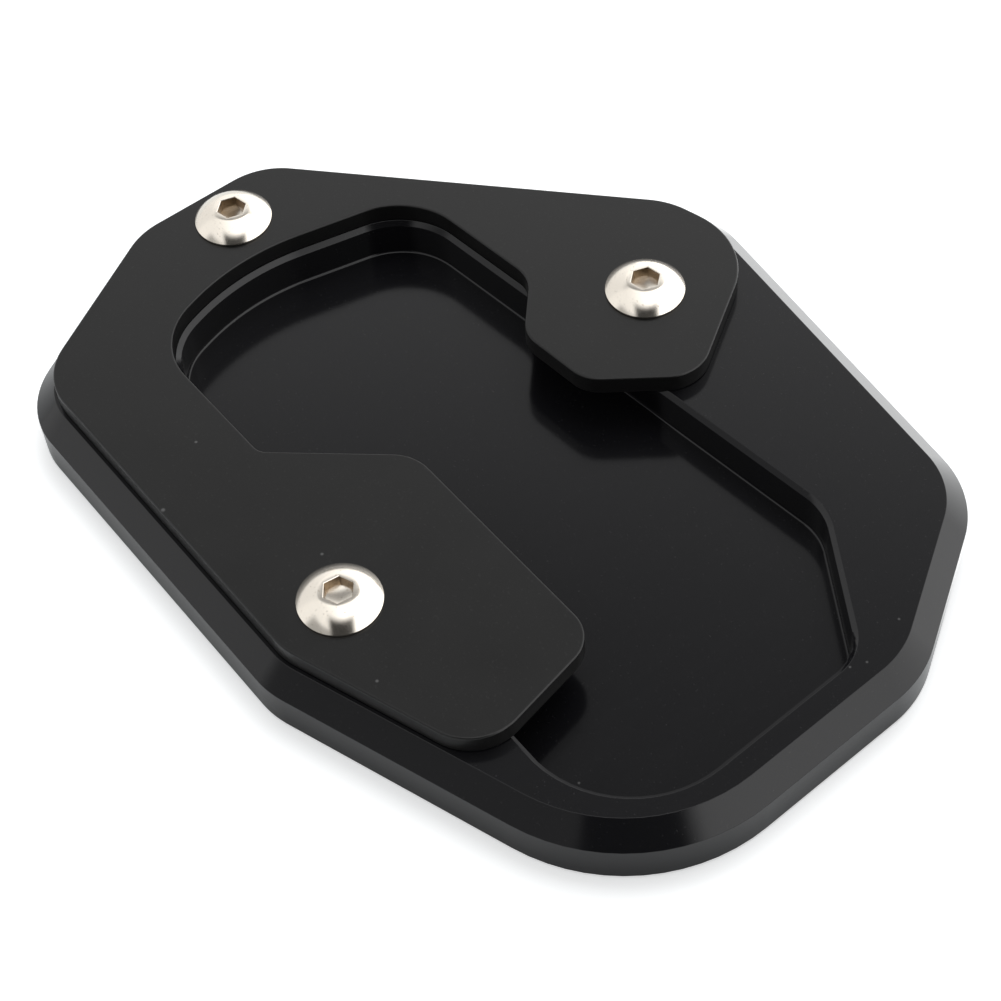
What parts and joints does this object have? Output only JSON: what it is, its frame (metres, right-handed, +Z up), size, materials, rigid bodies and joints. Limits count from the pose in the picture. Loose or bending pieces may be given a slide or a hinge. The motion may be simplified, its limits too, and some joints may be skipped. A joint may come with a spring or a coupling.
{
  "type": "kickstand foot enlarger",
  "caption": "Wide black base plate with a chamfered rim and a pocket for a kickstand's foot, held by a C-shaped clamp plate screwed on top.",
  "frame": {"origin": "middle of the base plate's outline, on its flat underside", "axes": "+X along the plate's length, from the single rear screw towards the clamp plate's open end; +Y towards the side screw; +Z up"},
  "size_m": [0.1099, 0.0824, 0.0131],
  "materials": {
    "black_anodised": "glossy black anodised, machined",
    "black_blasted": "matte black anodised, bead blasted",
    "stainless": "satin stainless"
  },
  "bodies": {
    "root": {"base_plate": "black_anodised", "clamp_plate": "black_blasted", "screw_rear": "stainless", "screw_side": "stainless", "screw_front": "stainless"}
  },
  "joints": []
}
